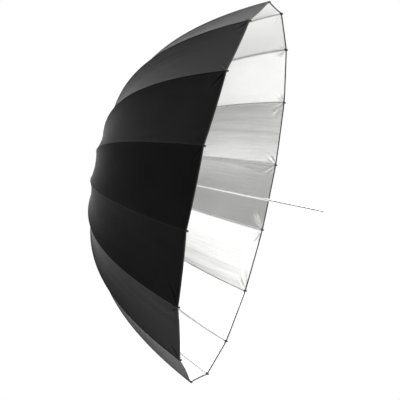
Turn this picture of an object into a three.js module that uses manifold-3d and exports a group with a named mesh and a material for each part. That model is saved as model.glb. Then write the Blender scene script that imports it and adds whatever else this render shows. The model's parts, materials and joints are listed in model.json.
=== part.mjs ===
// Studio umbrella reflector: a deep sixteen-rib umbrella, black outside and silver inside.
// Millimetres. +X runs along the shaft from the crown to the free end, +Z is up through the
// middle of a gore, and the origin is on the shaft's axis where a bracket grips it.
import * as THREE from 'three';
import { mergeVertices } from 'three/addons/utils/BufferGeometryUtils.js';
import Module from 'manifold-3d';

const wasm = await Module();
wasm.setup();

// --- driving dimensions -----------------------------------------------------------------
const RIBS = 16;
const STEP_ANGLE = 2 * Math.PI / RIBS;
const HALF_ANGLE = STEP_ANGLE / 2;
const GAP = 0.3; // between pieces that touch
const PAST = 1; // how far a cut runs past what it cuts

// dome: outer face of the canopy along a rib
const RIM_RADIUS = 650;
const RIM_X = -160;
const DOME_DEPTH = 475;
const CROWN_CONE = 45; // the part of the depth that rises in a straight line
const DOME_POWER = 3.28;
const APEX_X = RIM_X - DOME_DEPTH;

// canopy
const CLOTH = 0.8;
const GORE_START = 16;

// shaft
const SHAFT_RADIUS = 4;
const SHAFT_BORE = 3.2;
const SHAFT_END_X = 133;
const SHAFT_START_X = APEX_X - 6;
const BORE_RADIUS = SHAFT_RADIUS + GAP; // of whatever goes round the shaft
const PLUG_LENGTH = 8; // of the end cap, inside the shaft
const END_CAP_LENGTH = 3; // and outside it
const END_CAP_EDGE = 0.5; // how far its head stands out past the shaft's wall

// washer and cap that clamp the canopy's middle
const WASHER_RADIUS = 22;
const WASHER = 1.2;
const CAP_RADIUS = 12;
const CAP_RIM = 3; // height of the cap's straight rim
const CAP_DOME = 7; // and of its dome

// hinge wires, shared by the crown and the runner
const HINGE_RADIUS = 15; // from the shaft's axis to the wire
const WIRE_RADIUS = 0.7;
const EYE_HOLE = 1.1;
const EYE_RADIUS = 2.6;
const BLADE = 2; // thickness of a rib's or stretcher's eye
const SLOT = BLADE + 2 * GAP;
const SLOT_FLOOR = 11.4;
const FLANGE_RADIUS = 18.5;
const GROOVE = 2.4; // width of the groove that holds the wire

// crown
const CROWN_X = APEX_X + 2.6;
const CROWN_PLATE = 1.8;
const CROWN_HINGE_X = CROWN_X + CROWN_PLATE + 3;
const CROWN_HUB_X = CROWN_X + 16;
const CROWN_END_X = CROWN_X + 27;
const COLLAR_RADIUS = 9;
const PIN_RADIUS = 1.25;
const PIN_X = CROWN_END_X - 5;

// ribs
const ROD_RADIUS = 1.8;
const ROD_DEPTH = CLOTH + 2.7; // from the canopy's outer face to the rod's middle
const ROD_START = 26;
const BLADE_END = 34;
const ROD_STEPS = 14;
const TIP_BACK = 8; // how far the tip's ferrule reaches back from the hem
const TIP_OUT = 3; // and how far its head stands past the hem
const FERRULE_RADIUS = 2.1;
const HEAD_RADIUS = 2.9;

// stretchers
const CLIP_RADIUS = 230; // where the rib carries its clip
const JOINT_DEPTH = 8; // from the canopy's outer face to the joint
const CLIP_LENGTH = 11;
const STRETCHER_RADIUS = 1.5;
const TAB_RADIUS = 3.2;
const TAB = 1.8;
const TAB_INNER = ROD_RADIUS + 0.5; // the tab runs beside the clip
const STRETCHER_ASIDE = 4.4; // sideways place of the stretcher's outer end
const STRETCHER_BLADE = 20; // length of the flat end at the runner
const STRETCHER_ROD = 12; // where its rod starts, inside the flat end

// runner
const RUNNER_HINGE_X = CROWN_HINGE_X + 170;
const RUNNER_FRONT_X = RUNNER_HINGE_X - 5;
const RUNNER_PLATE_X = RUNNER_HINGE_X + 3;
const RUNNER_BACK_X = RUNNER_PLATE_X + 2;
const RUNNER_END_X = RUNNER_HINGE_X + 38;
const SLEEVE_RADIUS = 7.5;
const GRIP_RADIUS = 9;
const GRIP_LENGTH = 8;
const SLOPE_LENGTH = 2; // of the cones between flange, sleeve and grip
const CHAMFER = 1;

// spring catch that holds the runner up, and the stop above the runner
const CATCH_WIDTH = 2.2;
const CATCH_X = RUNNER_END_X + GAP;
const CATCH_LENGTH = 15;
const CATCH_TOP = 6.2;
const CATCH_FOOT = 0.6;
const CATCH_NOSE = 3; // length of its flat top
const STOP_LENGTH = 4;
const STOP_WALL = 2;

// --- materials --------------------------------------------------------------------------
function material(color, roughness, metalness) {
  return new THREE.MeshStandardMaterial({ color, roughness, metalness });
}
const steel = material(0xc4c6c8, 0.28, 1);
const wire = material(0xb0b2b4, 0.35, 1);
const rodGrey = material(0xb9bbbd, 0.4, 0.5);
const blackPlastic = material(0x1a1a1b, 0.5, 0);
const greyPlastic = material(0xc9cacb, 0.45, 0);
const blackCloth = material(0x151515, 0.8, 0);

// --- solids -----------------------------------------------------------------------------
function solid(geometry) {
  const bare = geometry.clone();
  bare.deleteAttribute('normal');
  bare.deleteAttribute('uv');
  const merged = mergeVertices(bare, 1e-4);
  return new wasm.Manifold(new wasm.Mesh({
    numProp: 3,
    vertProperties: new Float32Array(merged.attributes.position.array),
    triVerts: new Uint32Array(merged.index.array),
  }));
}

function geometryOf(shape) {
  const mesh = shape.getMesh();
  const geometry = new THREE.BufferGeometry();
  geometry.setAttribute('position', new THREE.BufferAttribute(mesh.vertProperties, 3));
  geometry.setIndex(new THREE.BufferAttribute(mesh.triVerts, 1));
  geometry.computeVertexNormals();
  return geometry;
}

// A body turned about the X axis from an outline of [x, radius] points. The outline starts
// and ends on the axis, or closes on itself, and its x rises along the outer side.
function turned(outline, segments = 2 * RIBS) {
  const points = outline.map(([x, radius]) => new THREE.Vector2(radius, x));
  const geometry = new THREE.LatheGeometry(points, segments);
  geometry.rotateZ(-Math.PI / 2);
  return solid(geometry);
}

// A hollow sleeve about the X axis.
function sleeve(fromX, toX, inner, outer, segments = 2 * RIBS) {
  return turned([
    [fromX, inner],
    [fromX, outer],
    [toX, outer],
    [toX, inner],
    [fromX, inner],
  ], segments);
}

// A ring of round wire about the X axis.
function ring(x, radius, wireRadius) {
  const geometry = new THREE.TorusGeometry(radius, wireRadius, 6, 32);
  geometry.rotateY(Math.PI / 2);
  geometry.translate(x, 0, 0);
  return solid(geometry);
}

// A plate cut from an outline in the XZ plane, centred at y.
function plate(shape, thickness, y = 0) {
  const geometry = new THREE.ExtrudeGeometry(shape, {
    depth: thickness,
    bevelEnabled: false,
    curveSegments: 3,
  });
  geometry.rotateX(Math.PI / 2);
  geometry.translate(0, y + thickness / 2, 0);
  return solid(geometry);
}

function block(lengthX, widthY, heightZ, x, y, z) {
  const geometry = new THREE.BoxGeometry(lengthX, widthY, heightZ);
  geometry.translate(x, y, z);
  return solid(geometry);
}

// A six-sided rod along a curve.
function rod(curve, radius, steps) {
  const section = new THREE.Shape();
  section.absarc(0, 0, radius, 0, 2 * Math.PI);
  return solid(new THREE.ExtrudeGeometry(section, {
    steps,
    curveSegments: 3,
    extrudePath: curve,
  }));
}

// A flat bar with a round eye at one point, reaching to another, in the XZ plane.
function eyeBar(eye, end, halfWidth) {
  const along = new THREE.Vector2().subVectors(end, eye).normalize();
  const side = new THREE.Vector2(-along.y, along.x);
  const heading = Math.atan2(along.y, along.x);
  const spread = Math.asin(halfWidth / EYE_RADIUS);
  const shape = new THREE.Shape();
  shape.absarc(eye.x, eye.y, EYE_RADIUS, heading + spread, heading + 2 * Math.PI - spread);
  shape.lineTo(end.x - side.x * halfWidth, end.y - side.y * halfWidth);
  shape.lineTo(end.x + side.x * halfWidth, end.y + side.y * halfWidth);
  const hole = new THREE.Path();
  hole.absarc(eye.x, eye.y, EYE_HOLE, 0, 2 * Math.PI, true);
  shape.holes.push(hole);
  return plate(shape, BLADE);
}

// --- the dome's curve -------------------------------------------------------------------
function domeX(radius) {
  const u = radius / RIM_RADIUS;
  return APEX_X + CROWN_CONE * u + (DOME_DEPTH - CROWN_CONE) * u ** DOME_POWER;
}

function domeSlope(radius) {
  const u = radius / RIM_RADIUS;
  return (CROWN_CONE + (DOME_DEPTH - CROWN_CONE) * DOME_POWER * u ** (DOME_POWER - 1)) / RIM_RADIUS;
}

// The point at a depth inside the canopy's outer face, in the plane of a rib that stands up
// along +Z: x along the shaft, y away from it.
function underDome(radius, depth) {
  const slope = domeSlope(radius);
  const scale = depth / Math.hypot(slope, 1);
  return new THREE.Vector2(domeX(radius) + scale, radius - slope * scale);
}

// How far to move the radius for a length along the rib.
function radiusStep(radius, length) {
  return length / Math.hypot(domeSlope(radius), 1);
}

class RibCurve extends THREE.Curve {
  constructor(from, to) {
    super();
    this.from = from;
    this.to = to;
  }

  getPoint(t, target = new THREE.Vector3()) {
    const point = underDome(this.from + (this.to - this.from) * t, ROD_DEPTH);
    return target.set(point.x, 0, point.y);
  }

  // the dome's radius at a fraction of the curve's length
  radiusAt(fraction) {
    return this.from + (this.to - this.from) * this.getUtoTmapping(fraction);
  }
}

// --- pieces that repeat round the shaft, each made in the plane that stands up along +Z ---
const seam = new RibCurve(ROD_START, RIM_RADIUS);
const crownHinge = new THREE.Vector2(CROWN_HINGE_X, HINGE_RADIUS);
const runnerHinge = new THREE.Vector2(RUNNER_HINGE_X, HINGE_RADIUS);
const ribJoint = underDome(CLIP_RADIUS, JOINT_DEPTH);

function ribClip() {
  const slope = Math.atan2(1, domeSlope(CLIP_RADIUS));
  const alongX = Math.cos(slope) * CLIP_LENGTH / 2;
  const alongZ = Math.sin(slope) * CLIP_LENGTH / 2;
  const top = underDome(CLIP_RADIUS, ROD_DEPTH);
  const shape = new THREE.Shape();
  shape.moveTo(top.x - alongX, top.y - alongZ);
  shape.lineTo(top.x + alongX, top.y + alongZ);
  shape.absarc(ribJoint.x, ribJoint.y, TAB_RADIUS, slope, slope - Math.PI, true);
  return plate(shape, 2 * ROD_RADIUS);
}

function rib() {
  const headStart = RIM_RADIUS + radiusStep(RIM_RADIUS, GAP);
  const headMiddle = RIM_RADIUS + radiusStep(RIM_RADIUS, TIP_OUT / 2);
  const headEnd = RIM_RADIUS + radiusStep(RIM_RADIUS, TIP_OUT);
  const ferruleStart = RIM_RADIUS - radiusStep(RIM_RADIUS, TIP_BACK);
  return rod(seam, ROD_RADIUS, ROD_STEPS)
    .add(rod(new RibCurve(ferruleStart, headMiddle), FERRULE_RADIUS, 1))
    .add(rod(new RibCurve(headStart, headEnd), HEAD_RADIUS, 1))
    .add(eyeBar(crownHinge, underDome(BLADE_END, ROD_DEPTH), ROD_RADIUS * 0.8))
    .add(ribClip());
}

function stretcher() {
  const along = new THREE.Vector2().subVectors(ribJoint, runnerHinge).normalize();
  const bladeEnd = runnerHinge.clone().addScaledVector(along, STRETCHER_BLADE);
  const start = runnerHinge.clone().addScaledVector(along, STRETCHER_ROD);
  const sideways = (distance) => STRETCHER_ASIDE * distance / ribJoint.distanceTo(runnerHinge);
  const line = new THREE.LineCurve3(
    new THREE.Vector3(start.x, sideways(STRETCHER_ROD), start.y),
    new THREE.Vector3(ribJoint.x, STRETCHER_ASIDE, ribJoint.y),
  );
  const tab = new THREE.Shape();
  tab.absarc(ribJoint.x, ribJoint.y, TAB_RADIUS, 0, 2 * Math.PI);
  return eyeBar(runnerHinge, bladeEnd, STRETCHER_RADIUS)
    .add(rod(line, STRETCHER_RADIUS, 1))
    .add(plate(tab, TAB, TAB_INNER + TAB / 2));
}

// A gore is a box laid over the dome: its length runs from the crown to the hem, its width
// from rib to rib and its height through the cloth. Past its first step it bends where the
// ribs bend, so the two stay the same distance apart.
function gore() {
  const steps = ROD_STEPS + 1;
  const geometry = new THREE.BoxGeometry(1, 1, 1, steps, 1, 1);
  const place = geometry.attributes.position;
  for (let i = 0; i < place.count; i += 1) {
    const step = Math.round((place.getX(i) + 0.5) * steps);
    const radius = step === 0 ? GORE_START : seam.radiusAt((step - 1) / ROD_STEPS);
    const slope = domeSlope(radius) / Math.cos(HALF_ANGLE);
    const inward = CLOTH * (0.5 - place.getZ(i)) / Math.hypot(slope, 1);
    const halfWidth = radius * Math.sin(HALF_ANGLE) - GAP / 2;
    place.setXYZ(
      i,
      domeX(radius) + inward,
      2 * place.getY(i) * halfWidth,
      radius * Math.cos(HALF_ANGLE) - slope * inward,
    );
  }
  return solid(geometry);
}

// --- crown, runner and shaft --------------------------------------------------------------
// The slots of one flange: one for each rib's plane, open on one side and at the rim.
function slots(fromX, toX) {
  const length = toX - fromX;
  const height = FLANGE_RADIUS + PAST - SLOT_FLOOR;
  let all = null;
  for (let i = 0; i < RIBS; i += 1) {
    const degrees = THREE.MathUtils.radToDeg(ribAngle(i));
    const cut = block(length, SLOT, height, fromX + length / 2, 0, SLOT_FLOOR + height / 2)
      .rotate([-degrees, 0, 0]);
    all = all ? all.add(cut) : cut;
  }
  return all;
}

function wireGroove(x) {
  const floor = HINGE_RADIUS - WIRE_RADIUS - GAP;
  return sleeve(x - GROOVE / 2, x + GROOVE / 2, floor, FLANGE_RADIUS + PAST);
}

function pinHole(radius) {
  const geometry = new THREE.CylinderGeometry(radius, radius, 4 * COLLAR_RADIUS, 16);
  geometry.translate(PIN_X, 0, 0);
  return solid(geometry);
}

function crown() {
  return turned([
    [CROWN_X, BORE_RADIUS],
    [CROWN_X, FLANGE_RADIUS],
    [CROWN_HUB_X, FLANGE_RADIUS],
    [CROWN_HUB_X, COLLAR_RADIUS],
    [CROWN_END_X, COLLAR_RADIUS],
    [CROWN_END_X, BORE_RADIUS],
    [CROWN_X, BORE_RADIUS],
  ])
    .subtract(slots(CROWN_X + CROWN_PLATE, CROWN_HUB_X + PAST))
    .subtract(wireGroove(CROWN_HINGE_X))
    .subtract(pinHole(PIN_RADIUS + GAP));
}

function crownPin() {
  const geometry = new THREE.CylinderGeometry(PIN_RADIUS, PIN_RADIUS, 2 * COLLAR_RADIUS, 16);
  geometry.translate(PIN_X, 0, 0);
  return solid(geometry);
}

function runner() {
  const gripX = RUNNER_END_X - GRIP_LENGTH;
  return turned([
    [RUNNER_FRONT_X, BORE_RADIUS],
    [RUNNER_FRONT_X, FLANGE_RADIUS],
    [RUNNER_BACK_X, FLANGE_RADIUS],
    [RUNNER_BACK_X + SLOPE_LENGTH, SLEEVE_RADIUS],
    [gripX - SLOPE_LENGTH, SLEEVE_RADIUS],
    [gripX, GRIP_RADIUS],
    [RUNNER_END_X - CHAMFER, GRIP_RADIUS],
    [RUNNER_END_X, GRIP_RADIUS - CHAMFER],
    [RUNNER_END_X, BORE_RADIUS],
    [RUNNER_FRONT_X, BORE_RADIUS],
  ])
    .subtract(slots(RUNNER_FRONT_X - PAST, RUNNER_PLATE_X))
    .subtract(wireGroove(RUNNER_HINGE_X));
}

function shaft() {
  const height = SHAFT_RADIUS + PAST;
  const window = block(
    CATCH_LENGTH + 2 * GAP, CATCH_WIDTH + 2 * GAP, height,
    CATCH_X + CATCH_LENGTH / 2, 0, height / 2,
  );
  return sleeve(SHAFT_START_X, SHAFT_END_X, SHAFT_BORE, SHAFT_RADIUS, 24)
    .subtract(window)
    .subtract(pinHole(PIN_RADIUS + GAP));
}

function shaftEndCap() {
  const face = SHAFT_END_X + END_CAP_LENGTH;
  return turned([
    [SHAFT_END_X - PLUG_LENGTH, 0],
    [SHAFT_END_X - PLUG_LENGTH, SHAFT_BORE - GAP],
    [SHAFT_END_X + GAP, SHAFT_BORE - GAP],
    [SHAFT_END_X + GAP, SHAFT_RADIUS],
    [SHAFT_END_X + CHAMFER, SHAFT_RADIUS + END_CAP_EDGE],
    [face - CHAMFER, SHAFT_RADIUS + END_CAP_EDGE],
    [face, SHAFT_RADIUS - END_CAP_EDGE],
    [face, 0],
  ], 16);
}

// The washer is dished, so that it lies on the cloth.
function canopyWasher() {
  const innerX = domeX(BORE_RADIUS) - GAP;
  const rimX = domeX(WASHER_RADIUS) - GAP;
  return turned([
    [innerX - WASHER, BORE_RADIUS],
    [rimX - WASHER, WASHER_RADIUS],
    [rimX, WASHER_RADIUS],
    [innerX, BORE_RADIUS],
    [innerX - WASHER, BORE_RADIUS],
  ]);
}

function topCap() {
  const seat = domeX(BORE_RADIUS) - 2 * GAP - WASHER;
  const dome = new THREE.EllipseCurve(0, seat - CAP_RIM, CAP_RADIUS, CAP_DOME, 0, -Math.PI / 2, true);
  return turned([
    [SHAFT_START_X - GAP, 0],
    [SHAFT_START_X - GAP, BORE_RADIUS],
    [seat, BORE_RADIUS],
    [seat, CAP_RADIUS],
    ...dome.getPoints(6).map((point) => [point.y, Math.max(point.x, 0)]),
  ].reverse(), 24);
}

// The catch is a wedge: it stands up behind the runner and slopes down to the shaft.
function catchSpring() {
  const shape = new THREE.Shape();
  shape.moveTo(CATCH_X + GAP, CATCH_FOOT);
  shape.lineTo(CATCH_X + CATCH_LENGTH - GAP, CATCH_FOOT);
  shape.lineTo(CATCH_X + CATCH_LENGTH - GAP, SHAFT_RADIUS - GAP);
  shape.lineTo(CATCH_X + CATCH_NOSE, CATCH_TOP);
  shape.lineTo(CATCH_X + GAP, CATCH_TOP);
  return plate(shape, CATCH_WIDTH);
}

function runnerStop() {
  const end = RUNNER_FRONT_X - GAP;
  return sleeve(end - STOP_LENGTH, end, BORE_RADIUS, SHAFT_RADIUS + STOP_WALL, 16);
}

// --- the assembly -------------------------------------------------------------------------
function ribAngle(index) {
  return STEP_ANGLE * index - HALF_ANGLE;
}

function goreAngle(index) {
  return STEP_ANGLE * index;
}

const umbrella = new THREE.Group();

function place(name, shape, look) {
  const mesh = new THREE.Mesh(geometryOf(shape), look);
  mesh.name = name;
  umbrella.add(mesh);
}

// Copies of one piece round the shaft, numbered from 01. Angles run from +Z towards +Y.
function placeRound(name, shape, look, angleOf) {
  const geometry = geometryOf(shape);
  for (let i = 0; i < RIBS; i += 1) {
    const mesh = new THREE.Mesh(geometry, look);
    mesh.name = `${name}_${String(i + 1).padStart(2, '0')}`;
    mesh.rotation.x = -angleOf(i);
    umbrella.add(mesh);
  }
}

place('shaft', shaft(), steel);
place('shaft_end_cap', shaftEndCap(), greyPlastic);
place('crown', crown(), blackPlastic);
place('crown_pin', crownPin(), steel);
place('crown_wire', ring(CROWN_HINGE_X, HINGE_RADIUS, WIRE_RADIUS), wire);
place('canopy_washer', canopyWasher(), blackPlastic);
place('top_cap', topCap(), blackPlastic);
place('runner', runner(), blackPlastic);
place('runner_wire', ring(RUNNER_HINGE_X, HINGE_RADIUS, WIRE_RADIUS), wire);
place('runner_stop', runnerStop(), steel);
place('catch', catchSpring(), steel);
placeRound('rib', rib(), rodGrey, ribAngle);
placeRound('stretcher', stretcher(), rodGrey, ribAngle);
placeRound('gore', gore(), blackCloth, goreAngle);

export default umbrella;
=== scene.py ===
"""Looks for a deep sixteen-rib studio umbrella: black cloth outside, silver inside.

Metres, in the part's own frame: +X along the shaft from the crown to the free end, +Z up.
Pieces that repeat are made once in the plane that stands up along +Z and turned to their ribs.
"""
import json
import math

import bmesh
import bpy
import numpy as np
from mathutils import Matrix, Vector


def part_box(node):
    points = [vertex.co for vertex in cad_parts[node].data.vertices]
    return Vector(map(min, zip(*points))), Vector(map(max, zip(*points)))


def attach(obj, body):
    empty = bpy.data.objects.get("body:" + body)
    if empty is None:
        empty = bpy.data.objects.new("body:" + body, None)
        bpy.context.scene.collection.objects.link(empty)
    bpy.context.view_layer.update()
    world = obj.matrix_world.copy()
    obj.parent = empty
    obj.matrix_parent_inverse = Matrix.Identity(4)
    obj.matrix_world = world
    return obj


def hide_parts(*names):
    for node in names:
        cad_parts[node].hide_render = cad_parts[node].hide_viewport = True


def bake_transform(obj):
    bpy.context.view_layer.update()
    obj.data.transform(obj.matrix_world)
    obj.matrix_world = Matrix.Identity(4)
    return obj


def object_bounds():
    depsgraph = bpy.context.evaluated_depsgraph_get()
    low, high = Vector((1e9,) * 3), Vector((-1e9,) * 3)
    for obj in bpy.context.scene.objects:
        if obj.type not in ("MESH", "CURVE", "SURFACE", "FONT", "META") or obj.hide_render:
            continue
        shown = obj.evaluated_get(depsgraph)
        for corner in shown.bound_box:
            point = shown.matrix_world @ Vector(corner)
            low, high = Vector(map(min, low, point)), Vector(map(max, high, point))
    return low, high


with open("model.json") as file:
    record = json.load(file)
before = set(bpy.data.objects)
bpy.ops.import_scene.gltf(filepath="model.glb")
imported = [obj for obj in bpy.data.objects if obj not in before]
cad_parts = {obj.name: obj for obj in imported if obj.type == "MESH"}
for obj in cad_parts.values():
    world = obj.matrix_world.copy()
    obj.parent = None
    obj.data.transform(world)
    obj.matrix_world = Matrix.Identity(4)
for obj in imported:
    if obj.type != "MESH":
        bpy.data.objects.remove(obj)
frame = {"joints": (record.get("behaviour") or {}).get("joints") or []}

CAD_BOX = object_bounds()
MM = 0.001

# --- the dome, as in the part --------------------
RIBS = 16
STEP_ANGLE = 2 * math.pi / RIBS
HALF_ANGLE = STEP_ANGLE / 2
RIM_RADIUS = 650 * MM
RIM_X = -160 * MM
DOME_DEPTH = 475 * MM
CROWN_CONE = 45 * MM
DOME_POWER = 3.28
APEX_X = RIM_X - DOME_DEPTH

# --- places taken from the frame --------------------
JOINTS = {joint["name"]: joint for joint in frame["joints"]}


def hinge_place(name):
    """(x, distance from the shaft's axis) of a hinge."""
    x, y, z = JOINTS[name]["pos_m"]
    return x, math.hypot(y, z)


CROWN_HINGE_X, HINGE_RADIUS = hinge_place("rib_01_fold")
RUNNER_HINGE_X = hinge_place("stretcher_01_swing")[0]
SHAFT_LOW, SHAFT_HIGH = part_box("shaft")
SHAFT_RADIUS = SHAFT_HIGH.y
CROWN_LOW, CROWN_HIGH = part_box("crown")
RUNNER_LOW, RUNNER_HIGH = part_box("runner")
FLANGE_RADIUS = CROWN_HIGH.y
STOP_LOW, STOP_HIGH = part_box("runner_stop")
CATCH_LOW, CATCH_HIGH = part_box("catch")
WASHER_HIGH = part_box("canopy_washer")[1]
CAP_LOW, CAP_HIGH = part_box("top_cap")
END_LOW, END_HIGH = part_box("shaft_end_cap")
PIN_LOW, PIN_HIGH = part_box("crown_pin")

# --- cloth --------------------
CLOTH = 0.5 * MM
GORE_START = 16 * MM
GORE_SAG = 7 * MM  # how far the middle of a gore sinks between its ribs
HEM_WIDTH = 5.5 * MM
ROWS_NEAR_HEM = 46
NEAR_HEM = 100 * MM
ROWS_ABOVE = 62
COLUMNS = 72
PLEAT_SPACING = 14  # degrees between the folds at a rib's tip
PLEAT_DEPTH = 2.0 * MM
PULLS = 14
CLOTH_SEED = 26956  # picked by a search, for its folds at the corners in view
SEAM_FOLD = 8 * MM  # width of the cloth folded back along each seam, inside
SEAM_ROWS = (1.6 * MM, 6.2 * MM)  # distances of the stitched rows from the seam
HEM_ROW = 4.6 * MM  # distance of the stitched row from the hem
THREAD_WIDTH = 0.5 * MM
STITCH_LENGTH = 3.2 * MM
STITCH_GAP = -0.6  # sine level under which the thread dips into the cloth

# --- the washer under the cap --------------------
WASHER = 1.2 * MM
WASHER_GAP = 0.3 * MM
WASHER_GROOVE = 0.35 * MM
GROOVE_SHARE = 0.78  # its place, in parts of the rim's radius
GROOVE_WIDTH = 0.9 * MM

# --- ribs and stretchers --------------------
ROD_RADIUS = 1.8 * MM
ROD_DEPTH = 3.5 * MM
ROD_START = 30 * MM
TIP_BACK = 8 * MM
FERRULE_RADIUS = 2.7 * MM
HEAD_RADIUS = 3.5 * MM
CLIP_RADIUS = 230 * MM
JOINT_DEPTH = 8 * MM
STRETCHER_RADIUS = 1.5 * MM
STRETCHER_ASIDE = 4.4 * MM
TAB_ASIDE = 3.2 * MM
EYE_RADIUS = 2.6 * MM
TAB_RADIUS = 3.2 * MM
TIE_SHARES = (0.2, 0.47, 0.74)  # places of the ties along the seam


# --- small helpers --------------------
def smooth(low, high, value):
    """0 at low and before it, 1 at high and past it, smooth between. low may be the larger."""
    t = np.clip((value - low) / (high - low), 0, 1)
    return t * t * (3 - 2 * t)


def number(index):
    return f"{index + 1:02d}"


def rib_angle(index):
    return STEP_ANGLE * index - HALF_ANGLE


def gore_angle(index):
    return STEP_ANGLE * index


def turned(points, angle):
    """Points turned about the shaft's axis, from +Z towards +Y."""
    points = np.asarray(points, float)
    c, s = math.cos(angle), math.sin(angle)
    x, y, z = points[..., 0], points[..., 1], points[..., 2]
    return np.stack([x, y * c + z * s, z * c - y * s], axis=-1)


def new_piece(name, points, faces, looks, look_of_face=None, flat=False):
    """A mesh object from points, faces and a list of materials."""
    mesh = bpy.data.meshes.new(name)
    mesh.from_pydata([tuple(p) for p in points], [], faces)
    for look in looks:
        mesh.materials.append(look)
    if look_of_face is not None:
        mesh.polygons.foreach_set("material_index", np.asarray(look_of_face, np.int32))
    mesh.polygons.foreach_set("use_smooth", [not flat] * len(mesh.polygons))
    mesh.update()
    piece = bpy.data.objects.new(name, mesh)
    bpy.context.scene.collection.objects.link(piece)
    return piece


def belongs(piece, body, slot, *nodes):
    """The piece rides on a body and stands for CAD nodes, which it hides. slot is not used."""
    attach(piece, body)
    if nodes:
        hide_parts(*nodes)
    return piece


def bevelled(piece, width, degrees):
    """Small rounded edges wherever two faces meet at more than an angle."""
    edges = piece.modifiers.new("edges", "BEVEL")
    edges.width = width
    edges.segments = 2
    edges.angle_limit = math.radians(degrees)


def sharp_edges(piece, degrees=35):
    """Shades the piece smooth, with its sharper edges kept sharp."""
    piece.data.shade_smooth()
    piece.data.set_sharp_from_angle(angle=math.radians(degrees))


# --- the dome's curve --------------------
def dome_x(radius):
    u = radius / RIM_RADIUS
    return APEX_X + CROWN_CONE * u + (DOME_DEPTH - CROWN_CONE) * u ** DOME_POWER


def dome_slope(radius):
    u = radius / RIM_RADIUS
    rise = (DOME_DEPTH - CROWN_CONE) * DOME_POWER * u ** (DOME_POWER - 1)
    return (CROWN_CONE + rise) / RIM_RADIUS


def under_dome(radius, depth):
    """(x, distance from the axis) at a depth inside the cloth, in a rib's plane."""
    slope = dome_slope(radius)
    scale = depth / np.hypot(slope, 1)
    return dome_x(radius) + scale, radius - slope * scale


def arc_table():
    """Radii and the lengths along the seam that they are at, from the gore's start."""
    radii = np.linspace(GORE_START, RIM_RADIUS, 4000)
    steps = np.hypot(np.diff(radii), np.diff(dome_x(radii)))
    return radii, np.concatenate([[0], np.cumsum(steps)])


SEAM_RADII, SEAM_LENGTHS = arc_table()
SEAM_LENGTH = SEAM_LENGTHS[-1]


def radius_at(length):
    """The dome's radius at a length along the seam; past the hem it goes straight on."""
    beyond = np.maximum(length - SEAM_LENGTH, 0)
    inside = np.interp(length, SEAM_LENGTHS, SEAM_RADII)
    return inside + beyond / np.hypot(dome_slope(RIM_RADIUS), 1)


# --- materials --------------------
def material(name, color, roughness, metallic=0.0, **sockets):
    """A principled material with constant values on its own sockets."""
    look = bpy.data.materials.new(name)
    look.use_nodes = True
    shader = look.node_tree.nodes["Principled BSDF"]
    shader.inputs["Base Color"].default_value = (*color, 1)
    shader.inputs["Roughness"].default_value = roughness
    shader.inputs["Metallic"].default_value = metallic
    for socket, value in sockets.items():
        shader.inputs[socket.replace("_", " ")].default_value = value
    return look


def node(look, kind, **settings):
    """A new node in a material, with properties and input values set by name."""
    made = look.node_tree.nodes.new(kind)
    for key, value in settings.items():
        if hasattr(made, key):
            setattr(made, key, value)
        else:
            made.inputs[key.replace("_", " ")].default_value = value
    return made


def wire(look, source, out, target, into):
    look.node_tree.links.new(source.outputs[out], target.inputs[into])


def math_node(look, operation, *values):
    """A maths node, with constant values on its inputs after the first."""
    made = node(look, "ShaderNodeMath", operation=operation)
    for place, value in enumerate(values, 1):
        made.inputs[place].default_value = value
    return made


def shader_of(look):
    return look.node_tree.nodes["Principled BSDF"]


def vary(look, low, high, scale):
    """The base colour drifts between two colours in a soft noise."""
    place = node(look, "ShaderNodeTexCoord")
    noise = node(look, "ShaderNodeTexNoise", Scale=scale, Detail=4.0)
    ramp = node(look, "ShaderNodeValToRGB")
    ramp.color_ramp.elements[0].position = 0.32
    ramp.color_ramp.elements[0].color = (*low, 1)
    ramp.color_ramp.elements[1].position = 0.68
    ramp.color_ramp.elements[1].color = (*high, 1)
    wire(look, place, "Object", noise, "Vector")
    wire(look, noise, "Fac", ramp, "Fac")
    wire(look, ramp, "Color", shader_of(look), "Base Color")


def vary_roughness(look, low, high, scale):
    """The roughness drifts between two values in a soft noise."""
    place = node(look, "ShaderNodeTexCoord")
    noise = node(look, "ShaderNodeTexNoise", Scale=scale, Detail=3.0)
    spread = node(look, "ShaderNodeMapRange", To_Min=low, To_Max=high)
    wire(look, place, "Object", noise, "Vector")
    wire(look, noise, "Fac", spread, "Value")
    wire(look, spread, "Result", shader_of(look), "Roughness")


def weave(look, pitch, strength, under=None):
    """A plain weave: two sets of threads that pass over and under each other."""
    place = node(look, "ShaderNodeTexCoord")
    split = node(look, "ShaderNodeSeparateXYZ")
    wire(look, place, "UV", split, "Vector")
    threads = []
    for axis in "XY":
        turn = math_node(look, "MULTIPLY", 2 * math.pi / pitch)
        wave = math_node(look, "SINE")
        wire(look, split, axis, turn, 0)
        wire(look, turn, "Value", wave, 0)
        threads.append(wave)
    cross = math_node(look, "MULTIPLY")
    wire(look, threads[0], "Value", cross, 0)
    wire(look, threads[1], "Value", cross, 1)
    bump = node(look, "ShaderNodeBump", Strength=strength, Distance=0.15 * MM)
    wire(look, cross, "Value", bump, "Height")
    if under:
        wire(look, under, "Normal", bump, "Normal")
    wire(look, bump, "Normal", shader_of(look), "Normal")


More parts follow.
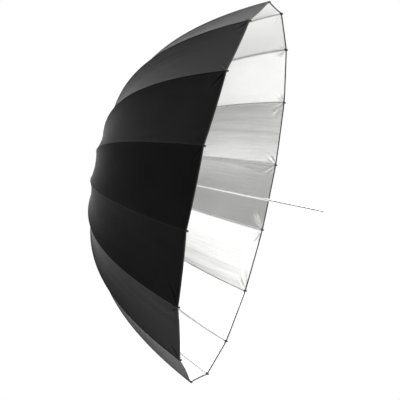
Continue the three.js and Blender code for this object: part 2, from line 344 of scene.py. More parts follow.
def stitch_row(look, edge, distance, run):
    """1 on the stitches of a row at a distance from the seam (edge X) or from the hem (Y)."""
    from_edge = node(look, "ShaderNodeUVMap", uv_map="edges")
    place = node(look, "ShaderNodeTexCoord")
    pick_edge = node(look, "ShaderNodeSeparateXYZ")
    pick_run = node(look, "ShaderNodeSeparateXYZ")
    near = math_node(look, "COMPARE", distance, THREAD_WIDTH / 2)
    turn = math_node(look, "MULTIPLY", 2 * math.pi / STITCH_LENGTH)
    wave = math_node(look, "SINE")
    shown = math_node(look, "GREATER_THAN", STITCH_GAP)
    both = math_node(look, "MULTIPLY")
    wire(look, from_edge, "UV", pick_edge, "Vector")
    wire(look, place, "UV", pick_run, "Vector")
    wire(look, pick_edge, edge, near, 0)
    wire(look, pick_run, run, turn, 0)
    wire(look, turn, "Value", wave, 0)
    wire(look, wave, "Value", shown, 0)
    wire(look, near, "Value", both, 0)
    wire(look, shown, "Value", both, 1)
    return both


def stitches(look, thread):
    """Sewn rows along the seams and the hem, over the cloth's own colour and weave."""
    rows = [stitch_row(look, "X", distance, "Y") for distance in SEAM_ROWS]
    rows.append(stitch_row(look, "Y", HEM_ROW, "X"))
    total = rows[0]
    for row in rows[1:]:
        most = math_node(look, "MAXIMUM")
        wire(look, total, "Value", most, 0)
        wire(look, row, "Value", most, 1)
        total = most
    links = look.node_tree.links
    color = shader_of(look).inputs["Base Color"].links[0].from_socket
    normal = shader_of(look).inputs["Normal"].links[0].from_socket
    mix = node(look, "ShaderNodeMix", data_type="RGBA")
    mix.inputs["B"].default_value = (*thread, 1)
    bump = node(look, "ShaderNodeBump", Strength=0.8, Distance=0.2 * MM)
    links.new(color, mix.inputs["A"])
    links.new(normal, bump.inputs["Normal"])
    wire(look, total, "Value", mix, "Factor")
    wire(look, total, "Value", bump, "Height")
    wire(look, mix, "Result", shader_of(look), "Base Color")
    wire(look, bump, "Normal", shader_of(look), "Normal")


def streaks(look, across, along, height):
    """Fine creases that run along a gore: lengths across and along one of them."""
    place = node(look, "ShaderNodeTexCoord")
    stretch = node(look, "ShaderNodeMapping", Scale=(1 / across, 1 / along, 1))
    noise = node(look, "ShaderNodeTexNoise", Scale=1.0, Detail=3.0)
    bump = node(look, "ShaderNodeBump", Strength=1.0, Distance=height)
    wire(look, place, "UV", stretch, "Vector")
    wire(look, stretch, "Vector", noise, "Vector")
    wire(look, noise, "Fac", bump, "Height")
    return bump


def grain(look, scale, strength, distance):
    """A fine moulded or brushed grain as bump."""
    place = node(look, "ShaderNodeTexCoord")
    noise = node(look, "ShaderNodeTexNoise", Scale=scale, Detail=3.0)
    bump = node(look, "ShaderNodeBump", Strength=strength, Distance=distance)
    wire(look, place, "Object", noise, "Vector")
    wire(look, noise, "Fac", bump, "Height")
    wire(look, bump, "Normal", shader_of(look), "Normal")


def black_cloth():
    look = material("black_cloth", (0.007, 0.007, 0.007), 0.43, Specular_IOR_Level=0.05)
    vary(look, (0.006, 0.0059, 0.0057), (0.0084, 0.0083, 0.0081), 9)
    weave(look, 0.9 * MM, 0.5)
    stitches(look, (0.02, 0.02, 0.02))
    return look


def silver_cloth():
    look = material("silver_cloth", (0.84, 0.84, 0.83), 0.36, 0.92)
    vary(look, (0.80, 0.80, 0.79), (0.88, 0.88, 0.875), 5)
    vary_roughness(look, 0.32, 0.42, 14)
    weave(look, 0.9 * MM, 0.18, streaks(look, 9 * MM, 110 * MM, 0.5 * MM))
    stitches(look, (0.3, 0.3, 0.3))
    return look


def binding_cloth():
    look = material("hem_binding", (0.02, 0.02, 0.02), 0.7)
    vary(look, (0.014, 0.014, 0.014), (0.026, 0.026, 0.026), 60)
    weave(look, 0.7 * MM, 0.7)
    stitches(look, (0.06, 0.06, 0.06))
    return look


def grained(name, color, roughness, metallic, low, high, spread, size, strength,
            distance=0.1 * MM):
    """A look whose colour drifts from low to high, with a fine grain of its own."""
    look = material(name, color, roughness, metallic)
    vary(look, low, high, spread)
    grain(look, size, strength, distance)
    return look


def bright_steel():
    look = material("polished_steel", (0.76, 0.76, 0.77), 0.16, 1.0)
    vary(look, (0.72, 0.72, 0.73), (0.8, 0.8, 0.81), 40)
    vary_roughness(look, 0.11, 0.2, 60)
    return look


BLACK_CLOTH = black_cloth()
SILVER_CLOTH = silver_cloth()
BINDING = binding_cloth()
BLACK_PLASTIC = grained("black_nylon", (0.02, 0.02, 0.021), 0.42, 0,
                        (0.015, 0.015, 0.016), (0.027, 0.027, 0.028), 90, 1400, 0.25)
GREY_PLASTIC = grained("grey_plastic", (0.6, 0.6, 0.61), 0.4, 0,
                       (0.55, 0.55, 0.56), (0.64, 0.64, 0.65), 120, 1600, 0.2)
BRIGHT_STEEL = bright_steel()
SATIN_STEEL = grained("satin_steel", (0.6, 0.61, 0.62), 0.36, 1,
                      (0.52, 0.53, 0.54), (0.66, 0.67, 0.68), 150, 900, 0.2, 0.05 * MM)
ROD_LOOK = grained("glass_fibre_rod", (0.8, 0.8, 0.8), 0.34, 0,
                   (0.74, 0.74, 0.74), (0.86, 0.86, 0.86), 70, 700, 0.15, 0.05 * MM)
THREAD = grained("grey_thread", (0.4, 0.4, 0.4), 0.8, 0,
                 (0.3, 0.3, 0.3), (0.5, 0.5, 0.5), 400, 2500, 0.6, 0.15 * MM)


# --- solids --------------------
def lathe(name, outline, looks, segments=64, wave=None, look_of_ring=None):
    """A body turned about the X axis from [x, radius] points, from axis to axis or closed.

    wave(angles, x, radius) may change the radii round the turn, for flutes and knurling."""
    angles = np.arange(segments) * 2 * math.pi / segments
    closed = outline[0][1] > 0 and outline[-1][1] > 0
    points, rings = [], []
    for x, radius in outline:
        if radius <= 0:
            rings.append([len(points)] * segments)
            points.append((x, 0, 0))
            continue
        radii = np.full(segments, radius)
        if wave:
            radii = wave(angles, x, radii)
        rings.append(list(range(len(points), len(points) + segments)))
        points += [(x, r * math.sin(a), r * math.cos(a)) for a, r in zip(angles, radii)]
    faces, kinds = [], []
    pairs = list(zip(rings, rings[1:] + (rings[:1] if closed else [])))
    for k, (first, second) in enumerate(pairs if closed else pairs[:len(rings) - 1]):
        for i in range(segments):
            j = (i + 1) % segments
            corner = dict.fromkeys([first[i], second[i], second[j], first[j]])
            if len(corner) > 2:
                faces.append(list(corner))
                kinds.append(look_of_ring[k] if look_of_ring else 0)
    piece = new_piece(name, points, faces, looks, kinds)
    outward(piece)
    sharp_edges(piece)
    return piece


def outward(piece):
    """Turns every face of a closed mesh to look outwards."""
    shape = bmesh.new()
    shape.from_mesh(piece.data)
    bmesh.ops.recalc_face_normals(shape, faces=shape.faces)
    shape.to_mesh(piece.data)
    shape.free()


def rounded(start, end, turns=6):
    """Points of a quarter round from one [x, radius] corner point to another.

    It leaves start along x and reaches end along the radius."""
    points = []
    for i in range(turns + 1):
        a = math.pi / 2 * i / turns
        x = start[0] + (end[0] - start[0]) * math.sin(a)
        radius = end[1] + (start[1] - end[1]) * math.cos(a)
        points.append((x, radius))
    return points


def loft(path, across, depth, side, sides=14):
    """Points and faces of a closed rod along a path.

    across is its half width towards side, depth its half width square to that. Both may
    change along the path. A half width of nothing closes the rod to a point."""
    path = np.asarray(path, float)
    side = np.asarray(side, float)
    ahead = np.gradient(path, axis=0)
    ahead /= np.linalg.norm(ahead, axis=1)[:, None]
    lift = np.cross(ahead, side)
    lift /= np.linalg.norm(lift, axis=1)[:, None]
    turn = np.arange(sides) * 2 * math.pi / sides
    across = np.broadcast_to(across, len(path))[:, None, None]
    depth = np.broadcast_to(depth, len(path))[:, None, None]
    points = (
        path[:, None, :]
        + across * np.cos(turn)[None, :, None] * side
        + depth * np.sin(turn)[None, :, None] * lift[:, None, :]
    ).reshape(-1, 3)
    faces = []
    for i in range(len(path) - 1):
        for j in range(sides):
            k = (j + 1) % sides
            faces.append([i * sides + j, i * sides + k, (i + 1) * sides + k, (i + 1) * sides + j])
    last = (len(path) - 1) * sides
    faces.append(list(range(sides))[::-1])
    faces.append([last + j for j in range(sides)])
    return points, faces


def joined(parts):
    """Several (points, faces) lists as one."""
    points, faces, start = [], [], 0
    for some_points, some_faces in parts:
        points.append(np.asarray(some_points, float))
        faces += [[start + i for i in face] for face in some_faces]
        start += len(some_points)
    return np.concatenate(points), faces


def in_rib_plane(xs, radii, aside=0.0):
    """Points in the plane that stands up along +Z, moved aside along +Y."""
    xs, radii = np.broadcast_arrays(xs, radii)
    return np.stack([xs, np.broadcast_to(aside, xs.shape), radii], axis=-1)


ASIDE = (0, 1, 0)


def along_rib(lengths, depth=ROD_DEPTH):
    """Points at lengths along the seam, at a depth inside the cloth."""
    return in_rib_plane(*under_dome(radius_at(np.asarray(lengths, float)), depth))


# --- ribs --------------------
def rib_rod():
    start = float(np.interp(ROD_START, SEAM_RADII, SEAM_LENGTHS))
    lengths = np.linspace(start, SEAM_LENGTH + 1 * MM, 72)
    return loft(along_rib(lengths), ROD_RADIUS, ROD_RADIUS, ASIDE, 16)


def eye_end(hinge, towards, reach, rod_radius, aside=0.0):
    """A pressed metal end: a flat eye, a neck, and a socket that holds a rod."""
    hinge, towards = np.asarray(hinge, float), np.asarray(towards, float)
    ahead = towards - hinge
    ahead /= np.linalg.norm(ahead)
    eye, thin = EYE_RADIUS, 1.0 * MM
    socket = rod_radius + 0.45 * MM
    round_part = -eye * np.cos(np.linspace(0, 0.62 * math.pi, 14))
    straight = np.linspace(round_part[-1] + 1.2 * MM, reach, 18)
    lengths = np.concatenate([round_part, straight])
    swell = smooth(0.38 * reach, 0.62 * reach, lengths)
    head = np.sqrt(np.maximum(eye ** 2 - lengths ** 2, (0.12 * MM) ** 2))
    neck = np.where(lengths < round_part[-1], head, np.maximum(head, 1.7 * MM))
    depth = neck * (1 - swell) + socket * swell
    across = thin * (1 - swell) + socket * swell
    lip = 1 - 0.16 * smooth(reach - 1.2 * MM, reach, lengths)
    path = in_rib_plane(*(hinge[:, None] + ahead[:, None] * lengths), aside)
    return loft(path, across * lip, depth * lip, ASIDE, 18)


def rib_eye():
    target = under_dome(ROD_START + 10 * MM, ROD_DEPTH)
    reach = math.dist(target, (CROWN_HINGE_X, HINGE_RADIUS))
    return eye_end((CROWN_HINGE_X, HINGE_RADIUS), target, reach, ROD_RADIUS)


RIB_JOINT = np.array(under_dome(CLIP_RADIUS, JOINT_DEPTH))


def rib_clip():
    """A band crimped round the rod, with an ear that holds the stretcher's joint."""
    middle = float(np.interp(CLIP_RADIUS, SEAM_RADII, SEAM_LENGTHS))
    lengths = np.linspace(middle - 5.5 * MM, middle + 5.5 * MM, 13)
    rim = 1 - 0.18 * smooth(4.4 * MM, 5.5 * MM, np.abs(lengths - middle))
    band = loft(along_rib(lengths), 2.35 * MM * rim, 2.35 * MM * rim, ASIDE, 18)
    top = np.array(under_dome(CLIP_RADIUS, ROD_DEPTH))
    down = (RIB_JOINT - top) / np.linalg.norm(RIB_JOINT - top)
    length = np.linalg.norm(RIB_JOINT - top)
    steps = np.concatenate([
        np.linspace(0, length, 8),
        length + 3.2 * MM * np.sin(np.linspace(0.12, 1, 9) * math.pi / 2),
    ])
    past = np.clip((steps - length) / (3.2 * MM), 0, 1)
    half = np.where(steps <= length, 4.6 * MM + (3.2 - 4.6) * MM * steps / length,
                    3.2 * MM * np.sqrt(np.maximum(1 - past ** 2, 0.001)))
    path = in_rib_plane(*(top[:, None] + down[:, None] * steps))
    return joined([band, loft(path, 1.1 * MM, half, ASIDE, 16)])


def round_bar(middle, low, high, radius, head_radius):
    """A rivet across the rib's plane, from y low to y high, with domed heads."""
    x, z = middle
    dome = np.array([0.05, 0.55, 0.85, 1.0, 1.0])
    rise = np.array([0.0, 0.12, 0.3, 0.55, 0.8]) * MM
    ys = np.concatenate([low - rise[-1] + rise, [low + 0.05 * MM, high - 0.05 * MM],
                         high + rise[-1] - rise[::-1]])
    widths = np.concatenate([head_radius * dome, [radius, radius], head_radius * dome[::-1]])
    path = np.stack([np.full_like(ys, x), ys, np.full_like(ys, z)], axis=-1)
    return loft(path, widths, widths, (1, 0, 0), 18)


def rib_rivet():
    return round_bar(RIB_JOINT, -1.15 * MM, TAB_ASIDE + 0.95 * MM, 1.3 * MM, 2.1 * MM)


def tip_cap():
    """The plastic cap on a rib's end: a sleeve, a waist for the thread and a round head."""
    back = SEAM_LENGTH - TIP_BACK
    sleeve = np.linspace(back, SEAM_LENGTH - 0.6 * MM, 14)
    head = SEAM_LENGTH + 1.6 * MM - 2.2 * MM * np.cos(np.linspace(0.3, math.pi - 0.06, 14))
    wide = FERRULE_RADIUS - 0.35 * MM * (1 - smooth(back, back + 1.2 * MM, sleeve))
    waist = 0.4 * MM * np.exp(-((sleeve - SEAM_LENGTH + 1.7 * MM) / (0.7 * MM)) ** 2)
    bulge = HEAD_RADIUS * np.sqrt(1 - ((head - SEAM_LENGTH - 1.6 * MM) / (2.2 * MM)) ** 2)
    radii = np.concatenate([wide - waist, np.maximum(bulge, 0.4 * MM)])
    return loft(along_rib(np.concatenate([sleeve, head])), radii, radii, ASIDE, 20)


def ring_round_rod(length, radius, thickness, turns=28, sides=8):
    """A loop of thread round the rib at a length along it."""
    points = along_rib([length - 1 * MM, length, length + 1 * MM])
    ahead = points[2] - points[0]
    ahead /= np.linalg.norm(ahead)
    lift = np.cross(ahead, ASIDE)
    a = np.arange(turns) * 2 * math.pi / turns
    out = np.cos(a)[:, None] * np.array(ASIDE) + np.sin(a)[:, None] * lift
    b = np.arange(sides) * 2 * math.pi / sides
    loop = (
        points[1]
        + out[:, None, :] * (radius + thickness * np.cos(b))[None, :, None]
        + ahead * (thickness * np.sin(b))[None, :, None]
    ).reshape(-1, 3)
    faces = []
    for i in range(turns):
        for j in range(sides):
            k, m = (i + 1) % turns, (j + 1) % sides
            faces.append([i * sides + j, k * sides + j, k * sides + m, i * sides + m])
    return loop, faces


def rib_ties():
    """Thread that ties the seam to the rib at three places, two turns at each."""
    parts = []
    for share in TIE_SHARES:
        for shift in (-0.45 * MM, 0.45 * MM):
            parts.append(ring_round_rod(share * SEAM_LENGTH + shift, 2.15 * MM, 0.4 * MM))
    return joined(parts)


def make_ribs():
    kinds = [
        ("rib_rod", rib_rod(), ROD_LOOK, "rib_rod"),
        ("rib_eye", rib_eye(), SATIN_STEEL, "wire_steel"),
        ("rib_clip", rib_clip(), SATIN_STEEL, "wire_steel"),
        ("rib_rivet", rib_rivet(), BRIGHT_STEEL, "wire_steel"),
        ("rib_tie", rib_ties(), THREAD, "black_plastic"),
        ("tip_cap", tip_cap(), BLACK_PLASTIC, "black_plastic"),
    ]
    for i in range(RIBS):
        for name, (points, faces), look, slot in kinds:
            piece = new_piece(f"{name}_{number(i)}", turned(points, rib_angle(i)), faces, [look])
            outward(piece)
            sharp_edges(piece, 50)
            nodes = [f"rib_{number(i)}"] if name == "rib_rod" else []
            belongs(piece, f"rib_{number(i)}", slot, *nodes)


# --- stretchers --------------------
def stretcher():
    hinge = np.array([RUNNER_HINGE_X, HINGE_RADIUS])
    span = float(np.linalg.norm(RIB_JOINT - hinge))
    ahead = (RIB_JOINT - hinge) / span
    eye, tab = EYE_RADIUS, TAB_RADIUS
    near = -eye * np.cos(np.linspace(0, 0.62 * math.pi, 14))
    far = span + tab * np.sin(np.linspace(-0.85, 1, 16) * math.pi / 2)
    middle = np.linspace(near[-1] + 1.2 * MM, far[0] - 1 * MM, 40)
    lengths = np.concatenate([near, middle, far])
    rod_share = smooth(9 * MM, 16 * MM, lengths)
    rod_share = rod_share * (1 - smooth(span - 17 * MM, span - 8 * MM, lengths))
    eye_head = np.sqrt(np.maximum(eye ** 2 - lengths ** 2, 0))
    tab_head = np.sqrt(np.maximum(tab ** 2 - (lengths - span) ** 2, 0))
    neck = np.where((lengths > 0) & (lengths < span), 1.6 * MM, 0)
    flat_depth = np.maximum(np.maximum(eye_head, tab_head), np.maximum(neck, 0.1 * MM))
    depth = flat_depth * (1 - rod_share) + STRETCHER_RADIUS * rod_share
    across = 0.9 * MM * (1 - rod_share) + STRETCHER_RADIUS * rod_share
    aside = STRETCHER_ASIDE * np.clip(lengths / span, 0, 1)
    aside += (TAB_ASIDE - STRETCHER_ASIDE) * smooth(span - 16 * MM, span - 6 * MM, lengths)
    path = in_rib_plane(*(hinge[:, None] + ahead[:, None] * lengths), aside)
    return loft(path, across, depth, ASIDE, 16)


def make_stretchers():
    points, faces = stretcher()
    for i in range(RIBS):
        name = f"stretcher_{number(i)}"
        piece = new_piece(f"{name}_rod", turned(points, rib_angle(i)), faces, [SATIN_STEEL])
        outward(piece)
        sharp_edges(piece, 50)
        belongs(piece, name, "rib_rod", name)


# --- shaft, crown and runner --------------------
def tube_with_window(name, low, high, outer, wall, window, looks, segments=48):
    """A tube about the X axis. window is (low x, high x, half angle) of a hole at +Z."""
    from_x, to_x, half_angle = window
    xs = np.unique(np.concatenate([
        np.linspace(low, from_x, 12), np.linspace(from_x, to_x, 4), np.linspace(to_x, high, 28)]))
    turn = np.concatenate([
        np.linspace(-half_angle, half_angle, 6),
        np.linspace(half_angle, 2 * math.pi - half_angle, segments - 6)[1:-1],
    ])
    around = len(turn)
    points = [(x, outer * math.sin(a), outer * math.cos(a)) for x in xs for a in turn]
    faces = []
    for i in range(len(xs) - 1):
        inside = from_x - 1e-6 < xs[i] and xs[i + 1] < to_x + 1e-6
        for j in range(around):
            if inside and j < 5:
                continue
            k = (j + 1) % around
            faces.append([i * around + j, (i + 1) * around + j,
                          (i + 1) * around + k, i * around + k])
    piece = new_piece(name, points, faces, looks)
    shape = bmesh.new()
    shape.from_mesh(piece.data)
    bmesh.ops.recalc_face_normals(shape, faces=shape.faces)
    middle = max(shape.faces, key=lambda face: face.calc_center_median().z)
    if middle.normal.z < 0:
        bmesh.ops.reverse_faces(shape, faces=shape.faces)
    shape.to_mesh(piece.data)
    shape.free()
    thick = piece.modifiers.new("wall", "SOLIDIFY")
    thick.thickness = wall
    thick.offset = -1
    bevelled(piece, 0.12 * MM, 50)
    sharp_edges(piece, 40)
    return piece


def make_shaft():
    window_half = math.asin(1.4 * MM / SHAFT_RADIUS)
    shaft = tube_with_window(
        "shaft_tube", SHAFT_LOW.x, SHAFT_HIGH.x, SHAFT_RADIUS, 0.8 * MM,
        (CATCH_LOW.x - 0.6 * MM, CATCH_HIGH.x + 0.6 * MM, window_half), [BRIGHT_STEEL])
    belongs(shaft, "frame", "shaft_steel", "shaft")


def make_end_cap():
    plug = 2.9 * MM
    low, high, wide = END_LOW.x, END_HIGH.x, END_HIGH.y
    seat = SHAFT_HIGH.x + 0.3 * MM
    outline = [(low, 0), (low, plug - 0.4 * MM), (low + 0.4 * MM, plug), (seat, plug)]
    outline += [(seat, wide - 0.3 * MM), (seat + 0.3 * MM, wide)]
    outline += rounded((high - 1.2 * MM, wide), (high, wide - 1.2 * MM))
    outline += [(high, 0)]
    belongs(lathe("shaft_end_cap_plug", outline, [GREY_PLASTIC], 48), "frame", "grey_plastic",
            "shaft_end_cap")


def crown_tooth(low, high, floor, top, slot):
    """One land between two slots of a hub: a block with parallel slot walls."""
    turn = np.linspace(-1, 1, 5)

    def corner_angle(radius):
        return HALF_ANGLE - math.asin(slot / 2 / radius)

    inner = [(floor * math.sin(corner_angle(floor) * t), floor * math.cos(corner_angle(floor) * t))
             for t in turn]
    outer = [(top * math.sin(corner_angle(top) * t), top * math.cos(corner_angle(top) * t))
             for t in turn[::-1]]
    section = inner + outer
    points = [(x, y, z) for x in (low, high) for y, z in section]
    count = len(section)
    faces = [[i, (i + 1) % count, count + (i + 1) % count, count + i] for i in range(count)]
    faces += [list(range(count))[::-1], [count + i for i in range(count)]]
    return points, faces


def slotted_hub(name, low, high, plate, collar, looks):
    """A hub with a slot for every rib. plate and collar are lathe outlines round the bore."""
    slot, floor = 2.6 * MM, 11.2 * MM
    parts = [(turned(points, gore_angle(i)), faces)
             for i in range(RIBS)
             for points, faces in [crown_tooth(low, high, floor, FLANGE_RADIUS, slot)]]
    teeth = new_piece(name, *joined(parts), looks)
    outward(teeth)
    plate_piece = lathe(name + "_plate", plate, looks, 96)
    collar_piece = lathe(name + "_collar", collar, looks, 96)
    with bpy.context.temp_override(
        active_object=teeth, object=teeth,
        selected_editable_objects=[teeth, plate_piece, collar_piece],
        selected_objects=[teeth, plate_piece, collar_piece],
    ):
        bpy.ops.object.join()
    bevelled(teeth, 0.25 * MM, 40)
    sharp_edges(teeth, 40)
    return teeth


ALMOST_QUARTER = 1.57  # radians: a rounded edge stops just short of a quarter turn


def ring_outline(low, high, inner, outer, edge=0.5 * MM):
    """A closed outline of a ring with rounded outer corners."""
    outline = [(low, inner), (low, outer - edge)]
    outline += [(low + edge * (1 - math.cos(a)), outer - edge * (1 - math.sin(a)))
                for a in np.linspace(0.3, ALMOST_QUARTER, 4)]
    outline += [(high - edge * (1 - math.sin(a)), outer - edge * (1 - math.cos(a)))
                for a in np.linspace(0, ALMOST_QUARTER, 4)]
    outline += [(high, inner)]
    return outline


BORE = SHAFT_RADIUS + 0.3 * MM


def make_crown():
    plate_end = CROWN_LOW.x + 1.8 * MM
    slots_end = CROWN_LOW.x + 16 * MM
    collar_radius = PIN_HIGH.y
    hub = 11.4 * MM
    plate = ring_outline(CROWN_LOW.x, plate_end, BORE, FLANGE_RADIUS)
    collar = [(plate_end - 0.2 * MM, BORE), (plate_end - 0.2 * MM, hub), (slots_end, hub)]
    collar += [(slots_end, collar_radius + 1 * MM), (slots_end + 1 * MM, collar_radius)]
    collar += rounded((CROWN_HIGH.x - 1 * MM, collar_radius),
                      (CROWN_HIGH.x, collar_radius - 1 * MM))
    collar += [(CROWN_HIGH.x, BORE)]
    crown = slotted_hub("crown_hub", plate_end - 0.1 * MM, slots_end, plate, collar, [BLACK_PLASTIC])
    belongs(crown, "frame", "black_plastic", "crown")
    pin_x = (PIN_LOW.x + PIN_HIGH.x) / 2
    pin = new_piece("crown_rivet", *round_bar((pin_x, 0), -collar_radius, collar_radius,
                                              1.25 * MM, 2 * MM), [SATIN_STEEL])
    outward(pin)
    sharp_edges(pin, 50)
    belongs(pin, "frame", "wire_steel", "crown_pin")


def make_runner():
    plate_start = RUNNER_HINGE_X + 3 * MM
    plate_end = plate_start + 2 * MM
    sleeve, grip, hub = 7.5 * MM, 9 * MM, 11.4 * MM
    end = RUNNER_HIGH.x
    plate = ring_outline(plate_start, plate_end, BORE, FLANGE_RADIUS)
    collar = [(RUNNER_LOW.x, BORE), (RUNNER_LOW.x, hub), (plate_start + 0.2 * MM, hub)]
    collar += [(plate_end - 0.1 * MM, hub)]
    collar += [(plate_end + 3 * MM * t, hub + (sleeve - hub) * math.sin(t * math.pi / 2))
               for t in np.linspace(0.1, 1, 6)]
    grip_start = end - 9 * MM
    for k in range(3):
        ridge = grip_start + 3 * MM * k
        collar += [(ridge, sleeve), (ridge + 0.6 * MM, grip), (ridge + 1.9 * MM, grip)]
        collar += [(ridge + 2.5 * MM, sleeve)]
    collar += [(end - 0.2 * MM, sleeve), (end, sleeve - 0.3 * MM), (end, BORE)]
    runner = slotted_hub("runner_hub", RUNNER_LOW.x, plate_start + 0.1 * MM, plate, collar,
                         [BLACK_PLASTIC])
    belongs(runner, "runner", "black_plastic", "runner")


def make_wires():
    for name, x, body, node_name in (
        ("crown_hinge_wire", CROWN_HINGE_X, "frame", "crown_wire"),
        ("runner_hinge_wire", RUNNER_HINGE_X, "runner", "runner_wire"),
    ):
        turn = np.linspace(0, 2 * math.pi, 13)[:-1]
        outline = [(x + 0.7 * MM * math.sin(a), HINGE_RADIUS + 0.7 * MM * math.cos(a)) for a in turn]
        belongs(lathe(name, outline, [SATIN_STEEL], 96), body, "wire_steel", node_name)


def make_stop():
    outline = ring_outline(STOP_LOW.x, STOP_HIGH.x, BORE, STOP_HIGH.y, 0.6 * MM)
    belongs(lathe("runner_stop_ring", outline, [SATIN_STEEL], 64), "frame", "wire_steel",
            "runner_stop")


def make_catch():
    """The sprung wedge: it stands up behind the runner and slopes down along the shaft."""
    low, high = CATCH_LOW, CATCH_HIGH
    nose = low.x + 2.4 * MM
    slope_end = SHAFT_RADIUS - 0.3 * MM
    outline = [(low.x, low.z), (high.x, low.z), (high.x, slope_end)]
    rise = high.z - slope_end
    outline += [(high.x + (nose - high.x) * t, slope_end + rise * math.sin(t * ALMOST_QUARTER))
                for t in np.linspace(0.1, 1, 7)]
    outline += [(low.x, high.z)]
    count = len(outline)
    points = [(x, y, z) for y in (low.y, high.y) for x, z in outline]
    faces = [list(range(count)), [count + i for i in range(count)][::-1]]
    faces += [[i, count + i, count + (i + 1) % count, (i + 1) % count] for i in range(count)]
    wedge = new_piece("catch_wedge", points, faces, [SATIN_STEEL])
    outward(wedge)
    bevelled(wedge, 0.25 * MM, 30)
    sharp_edges(wedge, 40)
    belongs(wedge, "catch", "wire_steel", "catch")


def make_cap():
    """The fluted knob outside the crown: a straight rim, and a dome down to its middle."""
    low, high, wide = CAP_LOW.x, CAP_HIGH.x, CAP_HIGH.y
    flute_count, flute_depth, rim = 24, 0.045, 3 * MM

    def flutes(angles, x, radii):
        depth = flute_depth * np.clip((x - low) / (6 * MM), 0, 1)
        return radii * (1 - depth * (0.5 + 0.5 * np.cos(flute_count * angles)) ** 2)

    outline = [(high - 5 * MM, 0), (high - 5 * MM, BORE), (high, BORE), (high, wide - 0.5 * MM)]
    outline += [(high - 0.5 * MM, wide), (high - rim, wide)]
    outline += [(high - rim - (high - rim - low) * math.sin(a), wide * math.cos(a))
                for a in np.linspace(0.15, math.pi / 2, 11)[:-1]]
    outline += [(low, 0)]
    cap = lathe("top_cap_knob", outline, [BLACK_PLASTIC], 192, flutes)
    belongs(cap, "frame", "black_plastic", "top_cap")


def make_washer():
    """The dished washer under the cap: it follows the dome and has a rolled rim."""
    rim = WASHER_HIGH.y
    edge = WASHER / 2
    radii = np.linspace(BORE, rim - edge, 9)
    under = [(dome_x(radius) - WASHER_GAP, radius) for radius in radii]
    middle = dome_x(rim - edge) - WASHER_GAP - edge
    roll = [(middle + edge * math.cos(a), rim - edge + edge * math.sin(a))
            for a in np.linspace(0.2, math.pi - 0.2, 9)]
    above = [(x - WASHER, radius) for x, radius in under[::-1]]

    def sunk(radius):
        return WASHER_GROOVE * math.exp(-((radius - GROOVE_SHARE * rim) / GROOVE_WIDTH) ** 2)

    groove = [(x + sunk(radius), radius) for x, radius in above]
    belongs(lathe("canopy_washer_disc", under + roll + groove, [BLACK_PLASTIC], 96), "frame",
            "black_plastic", "canopy_washer")


# --- canopy --------------------
def gore_rows():
    """Lengths along the seam of the gore's rows: close together near the hem."""
    above = np.linspace(0, 1, ROWS_ABOVE + 1) ** 0.9 * (SEAM_LENGTH - NEAR_HEM)
    near = SEAM_LENGTH - NEAR_HEM * (1 - np.linspace(0, 1, ROWS_NEAR_HEM + 1)) ** 1.15
    return np.concatenate([above, near[1:]])


def gore_columns():
    """Places across the gore from -1 to 1: close together near the seams."""
    t = np.linspace(-1, 1, COLUMNS + 1)
    return 0.5 * t + 0.5 * np.sin(t * math.pi / 2)


def pleats(from_seam, from_hem, random):
    """Height of the folds that fan out from a rib's tip, where the cloth is pulled tight.

    They are deepest round one angle, and fade to both sides of it."""
    main = random.uniform(38, 68)
    strength = random.uniform(0.6, 1.7)
    reach = random.uniform(40, 75) * MM
    away = np.hypot(from_seam, from_hem)
    angle = np.degrees(np.arctan2(from_seam, np.maximum(from_hem, 0)))
    height = np.zeros_like(away)
    side = 1.0
    for middle in main + PLEAT_SPACING * np.arange(-3, 4):
        middle += random.uniform(-2.5, 2.5)
        length = reach * random.uniform(0.75, 1.35)
        width = 1.4 * MM + random.uniform(0.07, 0.10) * away
        depth = strength * math.exp(-((middle - main) / 20) ** 2) * random.uniform(0.6, 1.3)
        off = away * np.sin(np.radians(angle - middle))
        fold = np.exp(-(off / width) ** 2) * smooth(2 * MM, 14 * MM, away)
        fold *= 1 - smooth(0.45 * length, length, away)
        height += side * depth * PLEAT_DEPTH * fold
        side = -side
    return height


def pulls(across, along, random):
    """Long shallow folds that run with the pull of the cloth, from the crown to the hem."""
    height = np.zeros_like(across)
    for _ in range(PULLS):
        middle = random.uniform(-0.1, 0.1)
        centre = random.uniform(0.2, 0.95) * SEAM_LENGTH
        lean = random.uniform(-0.1, 0.1)
        width = random.uniform(5, 18) * MM
        length = random.uniform(0.08, 0.22)
        push = random.choice((-1, 1)) * random.uniform(0.015, 0.04) * width
        off = across - middle - lean * (along - centre)
        height += push * np.exp(-(off / width) ** 2 - ((along - centre) / length) ** 2)
    return height


